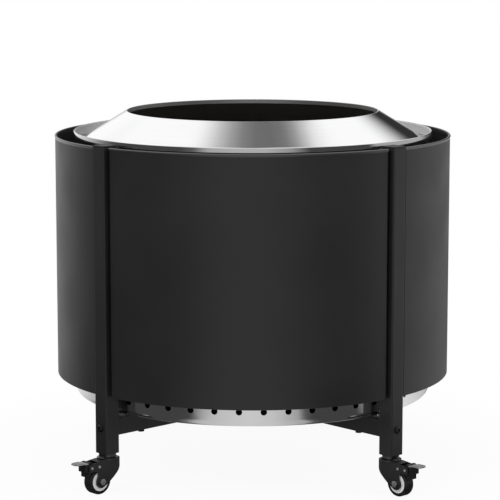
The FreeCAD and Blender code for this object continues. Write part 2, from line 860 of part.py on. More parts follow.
def make_outer_drum():
    """Outer wall and floor in one, with a rounded bottom corner, a rim bead and a vent row."""
    body = new_body("outer_drum")
    sheet = D.drum_sheet
    corner = D.drum_corner
    bead = D.drum_bead
    turned(body, [
        (ZERO, DRUM_Z),
        (D.drum_radius - corner, DRUM_Z, corner, 1),
        (D.drum_radius, DRUM_Z + corner),
        (D.drum_radius, DRUM_TOP - bead, bead, 1),
        (D.drum_radius - bead, DRUM_TOP, bead, 1),
        (D.drum_radius - bead * 2, DRUM_TOP - bead),
        (D.drum_radius - bead * 2, DRUM_TOP - bead * 2),
        (DRUM_BORE, DRUM_TOP - bead * 2),
        (DRUM_BORE, DRUM_Z + corner, corner - sheet, -1),
        (D.drum_radius - corner, DRUM_FLOOR),
        (ZERO, DRUM_FLOOR)])
    drill_round(body, VENT_Z, D.vent_radius, D.drum_radius, VENT_COUNT,
                spin=D.vent_turn + 180 / VENT_COUNT)
    hole = new_sketch(body, "XY_Plane", offset=DRUM_FLOOR)
    x, y = polar(DRUM_BOLT_CENTRE, POSTS["rear_right"])
    draw_circle(hole, x, y, D.drum_bolt_shank + D.hole_clearance)
    drilled = cut(body, hole, D.drum_sheet)
    repeat_round(body, drilled, len(POSTS))


def make_inner_drum():
    """The burn chamber's wall: intake holes below its floor, jets near its top, a ledge inside."""
    body = new_body("inner_drum")
    ledge = CHAMBER_BORE - D.chamber_ledge
    ledge_top = FLOOR_Z
    flange = CHAMBER_RADIUS + D.chamber_flange
    turned(body, [
        (CHAMBER_BORE, DRUM_FLOOR), (CHAMBER_RADIUS, DRUM_FLOOR),
        (CHAMBER_RADIUS, CHAMBER_TOP - D.chamber_sheet), (flange, CHAMBER_TOP - D.chamber_sheet),
        (flange, CHAMBER_TOP), (CHAMBER_BORE, CHAMBER_TOP),
        (CHAMBER_BORE, ledge_top), (ledge, ledge_top), (ledge, ledge_top - D.ledge_height),
        (CHAMBER_BORE, ledge_top - D.ledge_height)])
    drill_round(body, DRUM_FLOOR + D.intake_rise, D.intake_radius, CHAMBER_RADIUS, INTAKE_COUNT)
    for row in range(JET_ROWS):
        z = CHAMBER_TOP - D.jet_drop - D.jet_pitch * row
        spin = as_size(180 / JET_COUNT * row)
        drill_round(body, z, D.jet_radius, CHAMBER_RADIUS, JET_COUNT, spin=spin)


def make_chamber_floor():
    """The ring-shaped floor of the burn chamber, stepped down to a seat for the grate."""
    body = new_body("chamber_floor")
    sheet = D.chamber_sheet
    outer = CHAMBER_BORE - D.hole_clearance
    seat = GRATE_RADIUS + D.seat_play
    slope_foot = seat + D.floor_step
    flat_z = FLOOR_Z + D.floor_slope
    rim_top = flat_z + D.floor_flange
    foot = outer - D.chamber_ledge * 2
    turned(body, [
        (FLOOR_OPENING, FLOOR_Z), (seat + sheet, FLOOR_Z), (slope_foot + sheet, flat_z),
        (foot, flat_z), (foot, FLOOR_Z), (outer, FLOOR_Z), (outer, rim_top),
        (outer - sheet, rim_top), (outer - sheet, flat_z + sheet), (slope_foot, flat_z + sheet),
        (seat, GRATE_SEAT_Z), (FLOOR_OPENING, GRATE_SEAT_Z)])


def make_gallery_ring():
    """The flat ring that closes the air space between the two walls."""
    body = new_body("gallery_ring")
    outer = DRUM_BORE - D.hole_clearance * 2
    turned(body, [
        (CHAMBER_BORE, CHAMBER_TOP), (outer - D.gallery_sheet, CHAMBER_TOP),
        (outer - D.gallery_sheet, CHAMBER_TOP - D.gallery_flange),
        (outer, CHAMBER_TOP - D.gallery_flange), (outer, GALLERY_TOP), (CHAMBER_BORE, GALLERY_TOP)])


def make_flame_ring():
    """The loose cone that rests on the gallery ring inside the drum's rim."""
    body = new_body("flame_ring")
    sheet = D.ring_sheet
    foot_edge = RING_FOOT + D.ring_foot_width
    foot_top = GALLERY_TOP + sheet
    run = RING_FOOT - RING_MOUTH
    climb = MOUTH_Z - foot_top
    slant = root(run * run + climb * climb)
    drop = sheet * slant / run
    lip_bore = RING_MOUTH - sheet
    turned(body, [
        (foot_edge, GALLERY_TOP), (foot_edge, foot_top), (RING_FOOT, foot_top),
        (RING_MOUTH, MOUTH_Z), (lip_bore, MOUTH_Z), (lip_bore, MOUTH_Z - D.ring_lip),
        (RING_MOUTH, MOUTH_Z - D.ring_lip), (RING_MOUTH, MOUTH_Z - drop),
        (RING_FOOT - (drop - sheet) * run / climb, GALLERY_TOP)])
    round_edges(body, D.ring_lip_round, lambda edge: lies_at(edge, MOUTH_Z))


# Grate and ash pan

def make_fire_grate():
    """A round plate with rings of air holes, small enough to lift out through the mouth."""
    body = new_body("fire_grate")
    disc = new_sketch(body, "XY_Plane", offset=GRATE_SEAT_Z)
    draw_circle(disc, ZERO, ZERO, GRATE_RADIUS)
    pad(body, disc, D.grate_thick)
    centre = new_sketch(body, "XY_Plane", offset=GRATE_SEAT_Z)
    draw_circle(centre, ZERO, ZERO, D.grate_hole * 2)
    cut(body, centre, D.grate_thick, reverse=True)
    pitch = (GRATE_RADIUS - D.grate_rim) / GRATE_RINGS
    for ring in range(1, GRATE_RINGS + 1):
        sketch = new_sketch(body, "XY_Plane", offset=GRATE_SEAT_Z)
        draw_circle(sketch, pitch * ring, ZERO, D.grate_hole)
        drilled = cut(body, sketch, D.grate_thick, reverse=True)
        repeat_round(body, drilled, GRATE_HOLES_PER_RING * ring)


def make_ash_pan():
    """A shallow round tray that stands on the drum's floor."""
    body = new_body("ash_pan")
    sheet = D.pan_sheet
    top = DRUM_FLOOR + D.pan_height
    rim = PAN_RADIUS + D.pan_rim
    foot = PAN_RADIUS - D.pan_flare
    turned(body, [
        (ZERO, DRUM_FLOOR), (foot, DRUM_FLOOR), (PAN_RADIUS, top - sheet), (rim, top - sheet),
        (rim, top), (PAN_RADIUS - sheet, top), (foot - sheet, DRUM_FLOOR + sheet),
        (ZERO, DRUM_FLOOR + sheet)])


def make_ash_pan_bar():
    """The grab bar across the ash pan, lying on its rim."""
    body = new_body("ash_pan_bar")
    top = DRUM_FLOOR + D.pan_height
    sketch = new_sketch(body, "XY_Plane", offset=top)
    half = D.pan_bar_width / 2
    reach = PAN_RADIUS + D.pan_rim / 2
    draw_rectangle(sketch, -reach, -half, reach, half)
    pad(body, sketch, D.pan_bar_thick)
    round_edges(body, D.pan_bar_round, is_upright)


# Casters, each made with its stem on Z and its wheel trailing along +X

def place_caster(item, turn):
    x, y = polar(POST_CENTRE, turn)
    return place(item, x, y, turn=turn)


def make_caster_stem(corner, turn):
    """The threaded stem with the fixed half of the swivel race."""
    body = new_body(f"caster_stem_{corner}")
    head_top = FORK_TOP_UNDER - D.race_gap
    race_low = FORK_Z + D.race_gap
    race_high = race_low + D.race_height
    stem_top = POST_Z + D.stem_reach
    neck_radius = D.crown_radius - D.race_taper
    turned(body, [
        (ZERO, head_top - D.stem_head_height), (D.stem_head, head_top - D.stem_head_height),
        (D.stem_head, head_top), (D.stem_radius, head_top), (D.stem_radius, race_low),
        (D.crown_radius, race_low), (D.crown_radius, race_low + D.race_height / 2),
        (neck_radius, race_high), (neck_radius, POST_Z),
        (D.stem_radius, POST_Z), (D.stem_radius, stem_top), (ZERO, stem_top)])
    place_caster(body, turn)


def fork_side_corners():
    """The fork seen from the side: flat top, sloped nose, lug round the axle, arch over the wheel."""
    lug = AXLE_HEAD + D.fork_lug_margin
    arch = D.wheel_radius + D.fork_arch_gap
    nose_z = FORK_Z - D.fork_lead_drop
    tail_z = FORK_Z - D.fork_tail_drop
    tail_low = tail_z - D.fork_tail_height
    # The nose bows a little on its way down to where a straight line would touch the lug.
    run = D.wheel_trail + FORK_LEAD
    climb = nose_z - WHEEL_Z
    reach = root(run * run + climb * climb)
    touch = root(reach * reach - lug * lug)
    cos_touch = lug / reach
    sin_touch = touch / reach
    # Unit vector from the axle to the nose corner, turned to the point of touch.
    to_x = -run / reach
    to_z = climb / reach
    touch_x = D.wheel_trail + (to_x * cos_touch - to_z * sin_touch) * lug
    touch_z = WHEEL_Z + (to_x * sin_touch + to_z * cos_touch) * lug
    arch_rise = tail_low - WHEEL_Z
    arch_run = root(arch * arch - arch_rise * arch_rise)
    return [
        (-FORK_LEAD, FORK_Z), (-FORK_LEAD, nose_z, D.fork_nose_bend, 1),
        (touch_x, touch_z, lug, 1), (D.wheel_trail, WHEEL_Z - lug, lug, 1),
        (D.wheel_trail + lug, WHEEL_Z),
        (D.wheel_trail + lug * NECK_SHARES[0], WHEEL_Z + lug * NECK_SHARES[1]),
        (D.wheel_trail + arch_run * ARCH_START_SHARE, tail_low),
        (FORK_TAIL, tail_low), (FORK_TAIL, tail_z), (D.crown_radius, FORK_Z)]


def make_caster_fork(corner, turn):
    """A stamped fork: round top, closed nose and two side plates, open behind and below."""
    body = new_body(f"caster_fork_{corner}")
    side = new_sketch(body, "XZ_Plane")
    draw_outline(side, fork_side_corners())
    pad(body, side, FORK_OUTER * 2, both_ways=True)
    # Round the nose in plan.
    nose = FORK_OUTER
    nose_centre = -(FORK_LEAD - nose)
    past = D.overrun
    plan = new_sketch(body, "XY_Plane")
    draw_outline(plan, [
        (nose_centre, nose, nose, 1), (nose_centre - nose, ZERO, nose, 1),
        (nose_centre, -nose), (nose_centre, -nose - past), (-FORK_LEAD - past, -nose - past),
        (-FORK_LEAD - past, nose + past), (nose_centre, nose + past)])
    cut(body, plan, FORK_Z + past, reverse=True)
    crown = new_sketch(body, "XY_Plane", offset=FORK_TOP_UNDER)
    draw_circle(crown, ZERO, ZERO, D.crown_radius)
    pad(body, crown, D.fork_top_thick)
    # Hollow it from below, up to the top plate, and right through behind the crown.
    inside = FORK_INNER
    tail = FORK_TAIL + past
    hollow = new_sketch(body, "XY_Plane")
    draw_outline(hollow, [
        (nose_centre, inside, inside, 1), (nose_centre - inside, ZERO, inside, 1),
        (nose_centre, -inside), (tail, -inside), (tail, inside)])
    cut(body, hollow, FORK_TOP_UNDER, reverse=True)
    notch = new_sketch(body, "XY_Plane")
    draw_rectangle(notch, D.wheel_trail + D.fork_open_reach, -inside, tail, inside)
    cut(body, notch, FORK_Z + past, reverse=True)
    king = new_sketch(body, "XY_Plane")
    draw_circle(king, ZERO, ZERO, STEM_BORE)
    cut(body, king, FORK_Z + past, reverse=True)
    pins = new_sketch(body, "XZ_Plane")
    fit = D.hole_clearance
    draw_circle(pins, D.wheel_trail, WHEEL_Z, D.axle_radius + fit)
    draw_circle(pins, PEDAL_PIVOT_OUT, PEDAL_PIVOT_Z, D.rivet_radius + fit)
    draw_circle(pins, SPRING_PIN_OUT, SPRING_PIN_Z, D.spring_pin_radius + fit)
    cut(body, pins, FORK_OUTER * 2 + past, both_ways=True)
    place_caster(body, turn)


def cross_pin(radius, length, head, head_height):
    """A pin along Y, centred, with a round head at each end."""
    shank = place(rod(radius, length), y=length / 2, tilt=((1, 0, 0), 90))
    ends = []
    for y in (-length / 2, length / 2 + head_height):
        ends.append(place(rod(head, head_height), y=y, tilt=((1, 0, 0), 90)))
    return fused([shank] + ends)


def make_caster_rivets(corner, turn):
    """The two rivets across the fork: the brake's pivot and the anchor of its spring."""
    solids = []
    width = FORK_OUTER * 2
    for radius, out, z in ((D.rivet_radius, PEDAL_PIVOT_OUT, PEDAL_PIVOT_Z),
                           (D.spring_pin_radius, SPRING_PIN_OUT, SPRING_PIN_Z)):
        head = D.rivet_radius + D.rivet_head_step
        pin = cross_pin(radius, width, head, D.rivet_head_height)
        solids.append(place(pin, out, ZERO, z))
    rivets = group(f"caster_rivets_{corner}", solids)
    place_caster(rivets, turn)


def make_caster_axle(corner, turn, head_side):
    """The wheel's bolt, its hex head towards the front of the pit, and its nut."""
    width = FORK_OUTER * 2
    tail = D.axle_head_height + D.fork_sheet / 2
    bolt = hex_bolt(D.axle_radius, width + tail, AXLE_HEAD, D.axle_head_height)
    nut = hex_nut(D.axle_radius + D.hole_clearance, AXLE_HEAD, D.axle_head_height)
    # A tilt of 90 about X points +Z at -Y, so the bolt's head is on the +Y side.
    lean = 90 * head_side
    start = FORK_OUTER * head_side
    place(bolt, D.wheel_trail, start, WHEEL_Z, tilt=((1, 0, 0), lean))
    place(nut, D.wheel_trail, -start, WHEEL_Z, tilt=((1, 0, 0), lean))
    axle = group(f"caster_axle_{corner}", [bolt, nut])
    place_caster(axle, turn)


def make_caster_hub(corner, turn):
    """A moulded hub: rim ring, recessed faces and a boss that runs on the bolt."""
    body = new_body(f"caster_hub_{corner}")
    bore = D.axle_radius + D.running_clearance
    rim = D.tread_width / 2 - D.hub_inset
    web = rim - D.hub_recess_depth
    boss = FORK_INNER - D.hub_side_play
    recess_radius = HUB_RADIUS - D.hub_rim
    boss_radius = D.axle_radius + D.hub_boss_wall
    turned(body, [
        (bore, -boss), (boss_radius, -boss), (boss_radius, -web), (recess_radius, -web),
        (recess_radius, -rim), (HUB_RADIUS, -rim), (HUB_RADIUS, rim), (recess_radius, rim),
        (recess_radius, web), (boss_radius, web), (boss_radius, boss), (bore, boss)],
        plane="XY_Plane")
    place_wheel(body, turn)


def make_caster_tyre(corner, turn):
    """The tread moulded round the hub, with rounded shoulders."""
    body = new_body(f"caster_tyre_{corner}")
    bore = HUB_RADIUS + D.moulding_clearance
    half = D.tread_width / 2
    shoulder = D.tread_round
    turned(body, [
        (bore, -half), (D.wheel_radius - shoulder, -half, shoulder, 1),
        (D.wheel_radius, -half + shoulder), (D.wheel_radius, half - shoulder, shoulder, 1),
        (D.wheel_radius - shoulder, half), (bore, half)], plane="XY_Plane")
    place_wheel(body, turn)


def place_wheel(body, turn):
    x, y = polar(POST_CENTRE + D.wheel_trail, turn)
    place(body, x, y, WHEEL_Z, turn=turn)


def make_brake_pedal(corner, turn):
    """The steel lever: a flat plate stepped up to a rounded tip."""
    body = new_body(f"brake_pedal_{corner}")
    sheet = D.pedal_sheet
    step = PEDAL_STEP_OUT
    reach = D.wheel_trail + D.pedal_tip_reach
    start = PEDAL_START_OUT
    low = SHOE_TOP_Z
    high = low + sheet
    tip_low = low + D.pedal_tip_rise
    tip_high = tip_low + sheet
    slope = D.pedal_tip_rise * PEDAL_SLOPE_SHARE
    side = new_sketch(body, "XZ_Plane")
    draw_outline(side, [
        (start, low), (step, low), (step + slope, tip_low), (reach, tip_low), (reach, tip_high),
        (step + slope - sheet / 2, tip_high), (step - sheet / 2, high), (start, high)])
    pad(body, side, PEDAL_WIDTH, both_ways=True)
    round_edges(body, D.pedal_tip_round,
                lambda edge: is_upright(edge) and edge.BoundBox.XMin > step.value + sheet.value)
    place_caster(body, turn)


def make_brake_shoe(corner, turn):
    """The black block under the lever: it turns on the rivet and presses on the tread."""
    body = new_body(f"brake_shoe_{corner}")
    face = D.wheel_radius + D.shoe_gap
    low_run = root(face * face - D.shoe_low_rise * D.shoe_low_rise)
    back_rise = root(face * face - D.shoe_back_reach * D.shoe_back_reach)
    low = WHEEL_Z + D.shoe_low_rise
    out = D.wheel_trail + D.shoe_reach
    back = D.wheel_trail + D.shoe_back_reach
    shelf = FORK_Z - D.shoe_shelf_drop
    shelf_out = PEDAL_STEP_OUT - D.shoe_shelf_inset
    ridge = SHOE_TOP_Z + D.pedal_sheet + D.shoe_ridge
    side = new_sketch(body, "XZ_Plane")
    draw_outline(side, [
        (D.wheel_trail + low_run, low), (out, low), (out, shelf), (shelf_out, shelf),
        (shelf_out, SHOE_TOP_Z), (PEDAL_START_OUT, SHOE_TOP_Z), (PEDAL_START_OUT, ridge),
        (PEDAL_PIVOT_OUT, ridge), (back, ridge - D.shoe_back_drop),
        (back, WHEEL_Z + back_rise, face, -1)])
    pad(body, side, PEDAL_WIDTH, both_ways=True)
    bore = new_sketch(body, "XZ_Plane")
    draw_circle(bore, PEDAL_PIVOT_OUT, PEDAL_PIVOT_Z, D.rivet_radius + D.running_clearance)
    cut(body, bore, PEDAL_WIDTH + D.overrun, both_ways=True)
    place_caster(body, turn)


def make_caster(corner, turn):
    head_side = 1 if corner in ("front_left", "rear_right") else -1
    make_caster_stem(corner, turn)
    make_caster_fork(corner, turn)
    make_caster_rivets(corner, turn)
    make_caster_axle(corner, turn, head_side)
    make_caster_hub(corner, turn)
    make_caster_tyre(corner, turn)
    make_brake_pedal(corner, turn)
    make_brake_shoe(corner, turn)


def build():
    for corner, turn in POSTS.items():
        make_post(corner, turn)
        make_caster(corner, turn)
    group("post_caps", [make_post_cap(turn) for turn in POSTS.values()])
    group("caster_sockets", [make_caster_socket(turn) for turn in POSTS.values()])
    make_long_rail()
    make_short_rail("front_right")
    make_short_rail("rear_left")
    make_cross_plate()
    group("rail_plugs", [make_rail_plug(turn) for turn in POSTS.values()])
    group("post_bolts", [make_post_bolt(turn) for turn in POSTS.values()])
    make_cross_bolts()
    make_drum_bolts()
    make_drum_spacers()
    for side, turn in PANELS.items():
        make_panel(side, turn)
    make_panel_screws()
    make_outer_drum()
    make_inner_drum()
    make_chamber_floor()
    make_gallery_ring()
    make_flame_ring()
    make_fire_grate()
    make_ash_pan()
    make_ash_pan_bar()


def sub_parts():
    """The objects that nothing else is made from: each is one node."""
    tops = []
    for item in DOC.Objects:
        if item.TypeId not in ("PartDesign::Body", "Part::Compound"):
            continue
        if not any(user.TypeId == "Part::Compound" for user in item.InList):
            tops.append(item)
    return tops


def check(nodes):
    faults = [item.Label for item in DOC.Objects
              if "Invalid" in item.State or "Error" in item.State]
    faults += [item.Label for item in nodes if item.Shape.isNull() or not item.Shape.isValid()]
    if faults:
        raise RuntimeError("these failed: " + ", ".join(sorted(set(faults))))


build()
DOC.recompute()
NODES = sub_parts()
check(NODES)
os.makedirs("parts", exist_ok=True)
for node in NODES:
    node.Shape.exportStep(f"parts/{node.Label}.step")
print(len(NODES), "nodes written")
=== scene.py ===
import json
import math

import bpy
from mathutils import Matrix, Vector


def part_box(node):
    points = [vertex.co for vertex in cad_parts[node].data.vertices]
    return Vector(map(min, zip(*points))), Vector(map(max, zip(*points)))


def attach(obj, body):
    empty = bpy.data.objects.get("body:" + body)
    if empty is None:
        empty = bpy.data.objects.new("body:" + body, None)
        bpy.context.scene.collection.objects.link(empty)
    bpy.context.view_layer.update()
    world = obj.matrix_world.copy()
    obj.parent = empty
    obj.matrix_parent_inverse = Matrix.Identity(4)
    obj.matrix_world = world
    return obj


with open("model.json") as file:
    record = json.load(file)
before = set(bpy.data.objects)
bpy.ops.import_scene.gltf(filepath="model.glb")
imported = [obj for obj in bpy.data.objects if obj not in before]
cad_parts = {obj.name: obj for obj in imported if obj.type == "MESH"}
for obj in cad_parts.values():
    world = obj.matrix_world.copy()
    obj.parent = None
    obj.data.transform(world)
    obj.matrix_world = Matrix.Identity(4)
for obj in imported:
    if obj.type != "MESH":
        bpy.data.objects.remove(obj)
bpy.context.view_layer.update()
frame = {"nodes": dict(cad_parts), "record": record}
NODES = frame["nodes"]
MM = 0.001
WHITE = 1.0


# Node helpers

def node(tree, kind, **settings):
    """A shader node. A setting named after a property sets it, any other one sets an input."""
    made = tree.nodes.new(kind)
    for name, value in settings.items():
        if hasattr(made, name):
            setattr(made, name, value)
        else:
            made.inputs[name.replace("_", " ")].default_value = value
    return made


def feed(tree, socket, value):
    """Puts a constant or another node's output into an input socket."""
    if isinstance(value, bpy.types.NodeSocket):
        tree.links.new(value, socket)
    elif value is not None:
        socket.default_value = value


def math_node(tree, operation, first, second=None):
    made = node(tree, "ShaderNodeMath", operation=operation)
    feed(tree, made.inputs[0], first)
    feed(tree, made.inputs[1], second)
    return made.outputs[0]


def plus(tree, first, second):
    return math_node(tree, "ADD", first, second)


def times(tree, first, second):
    return math_node(tree, "MULTIPLY", first, second)


def vector_math(tree, operation, first, second=None, output="Vector"):
    made = node(tree, "ShaderNodeVectorMath", operation=operation)
    feed(tree, made.inputs[0], first)
    feed(tree, made.inputs[1], second)
    return made.outputs[output]


def split_xyz(tree, vector):
    made = node(tree, "ShaderNodeSeparateXYZ")
    tree.links.new(vector, made.inputs[0])
    return made.outputs


def remap(tree, value, low, high, start, end, curve="SMOOTHSTEP"):
    """Takes low..high to start..end, and stays there outside it."""
    made = node(tree, "ShaderNodeMapRange", interpolation_type=curve, From_Min=low,
                From_Max=high, To_Min=start, To_Max=end)
    tree.links.new(value, made.inputs["Value"])
    return made.outputs["Result"]


def ramp(tree, factor, stops, interpolation="EASE"):
    """A colour ramp with (position, grey or colour) stops."""
    made = node(tree, "ShaderNodeValToRGB")
    made.color_ramp.interpolation = interpolation
    elements = made.color_ramp.elements
    while len(elements) < len(stops):
        elements.new(0.5)
    for element, (position, colour) in zip(elements, stops):
        element.position = position
        tone = (colour,) * 3 if isinstance(colour, (int, float)) else colour
        element.color = (*tone, 1)
    tree.links.new(factor, made.inputs["Fac"])
    return made.outputs["Color"]


def mix_colours(tree, factor, first, second):
    """First where the factor is 0, second where it is 1. Each is a grey or a socket."""
    made = node(tree, "ShaderNodeMix", data_type="RGBA")
    tree.links.new(factor, made.inputs[0])
    first_colour, second_colour = made.inputs[6], made.inputs[7]
    for socket, value in ((first_colour, first), (second_colour, second)):
        grey = isinstance(value, (int, float))
        feed(tree, socket, (value, value, value, 1) if grey else value)
    return made.outputs[2]


def noise(tree, vector, scale, detail, stretch=None):
    if stretch is not None:
        mapping = node(tree, "ShaderNodeMapping", Scale=stretch)
        tree.links.new(vector, mapping.inputs["Vector"])
        vector = mapping.outputs["Vector"]
    made = node(tree, "ShaderNodeTexNoise", Scale=scale, Detail=detail)
    tree.links.new(vector, made.inputs["Vector"])
    return made.outputs["Fac"]


def object_coords(tree):
    return node(tree, "ShaderNodeTexCoord").outputs["Object"]


def geometry(tree, output):
    return node(tree, "ShaderNodeNewGeometry").outputs[output]


def azimuth_of(tree, vector):
    """The angle round Z from the front, positive to the right, and the height."""
    x, y, z = split_xyz(tree, vector)
    return math_node(tree, "ARCTAN2", x, times(tree, y, -1.0)), z


# Materials

UNROLL_RADIUS = 0.34
SEAM_OUTER = 1.6 * MM
SEAM_INNER = 0.7 * MM
SEAM_ROUGHNESS = 0.25
SMUDGE_ROUGHNESS = 0.04
# The darker tone of faces turned to the pit's axis: partly a mill finish, partly painted shade.
MILLED_AND_SHADE_TONE = 0.62
MILLED_ROUGHNESS = 0.45
# The reach of eased edges, and the lighter tone along them: partly chafing, partly a painted edge
# highlight.
EDGE_EASE_REACH = 1.5 * MM
CHAFE_AND_EDGE_HIGHLIGHT_TONE = 0.045


def round_coords(tree):
    """Object coordinates unrolled round Z: along the turn, out from the axis, and up."""
    at = object_coords(tree)
    turn, height = azimuth_of(tree, at)
    x, y, _ = split_xyz(tree, at)
    radius = math_node(tree, "SQRT", plus(tree, times(tree, x, x), times(tree, y, y)))
    joined = node(tree, "ShaderNodeCombineXYZ")
    for socket, value in zip(joined.inputs, (times(tree, turn, UNROLL_RADIUS), radius, height)):
        tree.links.new(value, socket)
    return joined.outputs[0]


def surface(name, metallic=0.0, coat=0.0, specular=0.5):
    material = bpy.data.materials.new(name)
    material.use_nodes = True
    shader = material.node_tree.nodes["Principled BSDF"]
    shader.inputs["Metallic"].default_value = metallic
    shader.inputs["Specular IOR Level"].default_value = specular
    shader.inputs["Coat Weight"].default_value = coat
    return material, material.node_tree, shader


def set_colour(tree, shader, colour):
    tree.links.new(colour, shader.inputs["Base Color"])


def set_roughness(tree, shader, factor, low, high):
    tree.links.new(remap(tree, factor, 0.3, 0.7, low, high), shader.inputs["Roughness"])


def set_bump(tree, shader, layers, normal=None):
    """Chains (height socket, depth in metres) layers into the shader's normal."""
    for height, depth in layers:
        made = node(tree, "ShaderNodeBump", Strength=1.0, Distance=depth)
        tree.links.new(height, made.inputs["Height"])
        feed(tree, made.inputs["Normal"], normal)
        normal = made.outputs["Normal"]
    tree.links.new(normal, shader.inputs["Normal"])


def eased_normal(tree, reach):
    """The normal rounded over sharp edges, and 1 along them within a reach in metres."""
    eased = node(tree, "ShaderNodeBevel", samples=4, Radius=reach).outputs[0]
    likeness = vector_math(tree, "DOT_PRODUCT", eased, geometry(tree, "Normal"), "Value")
    return eased, remap(tree, likeness, 0.86, 0.995, 1.0, 0.0)


def back_seam(tree, turned):
    """1 along a narrow seam up the back of a rolled sheet, where its ends meet, not on a disc."""
    along = math_node(tree, "ABSOLUTE", split_xyz(tree, turned)[0])
    end = UNROLL_RADIUS * math.pi
    seam = remap(tree, along, end - SEAM_OUTER, end - SEAM_INNER, 0.0, 1.0)
    lift = math_node(tree, "ABSOLUTE", split_xyz(tree, geometry(tree, "True Normal"))[2])
    return times(tree, seam, remap(tree, lift, 0.96, 0.98, 1.0, 0.0))


def facing_in(tree):
    """1 where a surface faces the pit's axis, 0 where it faces out, up or down."""
    level = vector_math(tree, "MULTIPLY", object_coords(tree), (1, 1, 0))
    outwards = vector_math(tree, "NORMALIZE", level)
    likeness = vector_math(tree, "DOT_PRODUCT", outwards, geometry(tree, "Normal"), "Value")
    return remap(tree, likeness, -0.5, -0.2, 1.0, 0.0)


def mottled(name, tones, rough, patches, grain, depth, stretch=None, metallic=0.0,
            specular=0.5):
    """A finish whose tone and roughness vary in patches, over a fine grain of a depth in metres.

    Patches and grain are a noise's (scale, detail)."""
    material, tree, shader = surface(name, metallic, specular=specular)
    at = object_coords(tree)
    clouds = noise(tree, at, *patches)
    set_colour(tree, shader, ramp(tree, clouds, [(0.3, tones[0]), (0.7, tones[1])]))
    set_roughness(tree, shader, clouds, *rough)
    set_bump(tree, shader, [(noise(tree, at, *grain, stretch=stretch), depth)])
    return material


def powder_coat(name="powder_coat", coat=0.0, specular=0.5):
    """Satin black powder coat: orange peel, mottling, grey specks, and a lighter tone along its
    edges that is partly chafing, partly a painted edge highlight.
    """
    material, tree, shader = surface(name, coat=coat, specular=specular)
    shader.inputs["Coat Roughness"].default_value = 0.2
    at = object_coords(tree)
    peel = noise(tree, at, scale=700, detail=4)
    specks = noise(tree, at, scale=1600, detail=2)
    clouds = noise(tree, at, scale=7, detail=4)
    mixed = plus(tree, times(tree, specks, 0.6), times(tree, clouds, 0.4))
    tint = ramp(tree, mixed, [(0.3, 0.0095), (0.5, 0.0118), (0.72, 0.016)])
    normal, edge = eased_normal(tree, EDGE_EASE_REACH)
    chafe_and_highlight_patches = remap(tree, noise(tree, at, scale=45, detail=4), 0.35, 0.62, 0.35, 1.0)
    # Lighter along edges in patches: partly chafed coat, partly a painted edge highlight.
    set_colour(tree, shader, mix_colours(tree, times(tree, edge, chafe_and_highlight_patches), tint, CHAFE_AND_EDGE_HIGHLIGHT_TONE))
    set_roughness(tree, shader, clouds, 0.40, 0.48)
    set_bump(tree, shader, [(peel, 0.06 * MM), (specks, 0.03 * MM)], normal)
    return material


def polished_steel():
    """Stainless sheet, mirror-polished with hairlines outside, and dull inside with a darker tone
    that is partly a mill finish, partly painted shade inside the pit.
    """
    material, tree, shader = surface("polished_steel", metallic=1.0)
    turned = round_coords(tree)
    lines = noise(tree, turned, scale=1, detail=4, stretch=(3, 900, 900))
    waves = noise(tree, turned, scale=1, detail=2, stretch=(3, 9, 9))
    grip = noise(tree, object_coords(tree), scale=16, detail=4)
    inside = facing_in(tree)
    seam = back_seam(tree, turned)
    tint = ramp(tree, lines, [(0.25, (0.93, 0.93, 0.935)), (0.75, (0.97, 0.97, 0.975))])
    # Faces turned to the pit's axis take a darker tone: partly a mill finish, partly painted shade
    # inside the pit.
    set_colour(tree, shader, mix_colours(tree, inside, tint, MILLED_AND_SHADE_TONE))
    smudges = times(tree, remap(tree, grip, 0.52, 0.72, 0.0, 1.0), SMUDGE_ROUGHNESS)
    rough = plus(tree, remap(tree, lines, 0.3, 0.7, 0.05, 0.09), smudges)
    rough = plus(tree, rough, times(tree, seam, SEAM_ROUGHNESS))
    rough = math_node(tree, "MAXIMUM", rough, times(tree, inside, MILLED_ROUGHNESS))
    tree.links.new(rough, shader.inputs["Roughness"])
    set_bump(tree, shader, [(lines, 0.0008 * MM), (waves, 0.06 * MM), (seam, 0.25 * MM)])
    return material


def chamber_steel():
    """Stainless sheet dulled by heat, with straw and brown tints and a welded seam."""
    material, tree, shader = surface("chamber_steel", metallic=1.0)
    turned = round_coords(tree)
    clouds = noise(tree, turned, scale=1, detail=5, stretch=(9, 9, 14))
    lines = noise(tree, turned, scale=1, detail=3, stretch=(4, 500, 700))
    set_colour(tree, shader, ramp(tree, clouds, [
        (0.3, (0.16, 0.15, 0.145)), (0.5, (0.27, 0.25, 0.23)), (0.7, (0.36, 0.345, 0.33))]))
    set_roughness(tree, shader, clouds, 0.5, 0.3)
    set_bump(tree, shader, [(lines, 0.01 * MM), (back_seam(tree, turned), 0.4 * MM)])
    return material


def cast_iron():
    """Sooty cast iron, rough and pitted."""
    material, tree, shader = surface("cast_iron", metallic=0.7)
    at = object_coords(tree)
    pits = noise(tree, at, scale=260, detail=5)
    clouds = noise(tree, at, scale=14, detail=4)
    set_colour(tree, shader, ramp(tree, clouds, [
        (0.3, (0.018, 0.017, 0.016)), (0.7, (0.05, 0.047, 0.044))]))
    set_roughness(tree, shader, pits, 0.55, 0.8)
    set_bump(tree, shader, [(pits, 0.3 * MM)])
    return material


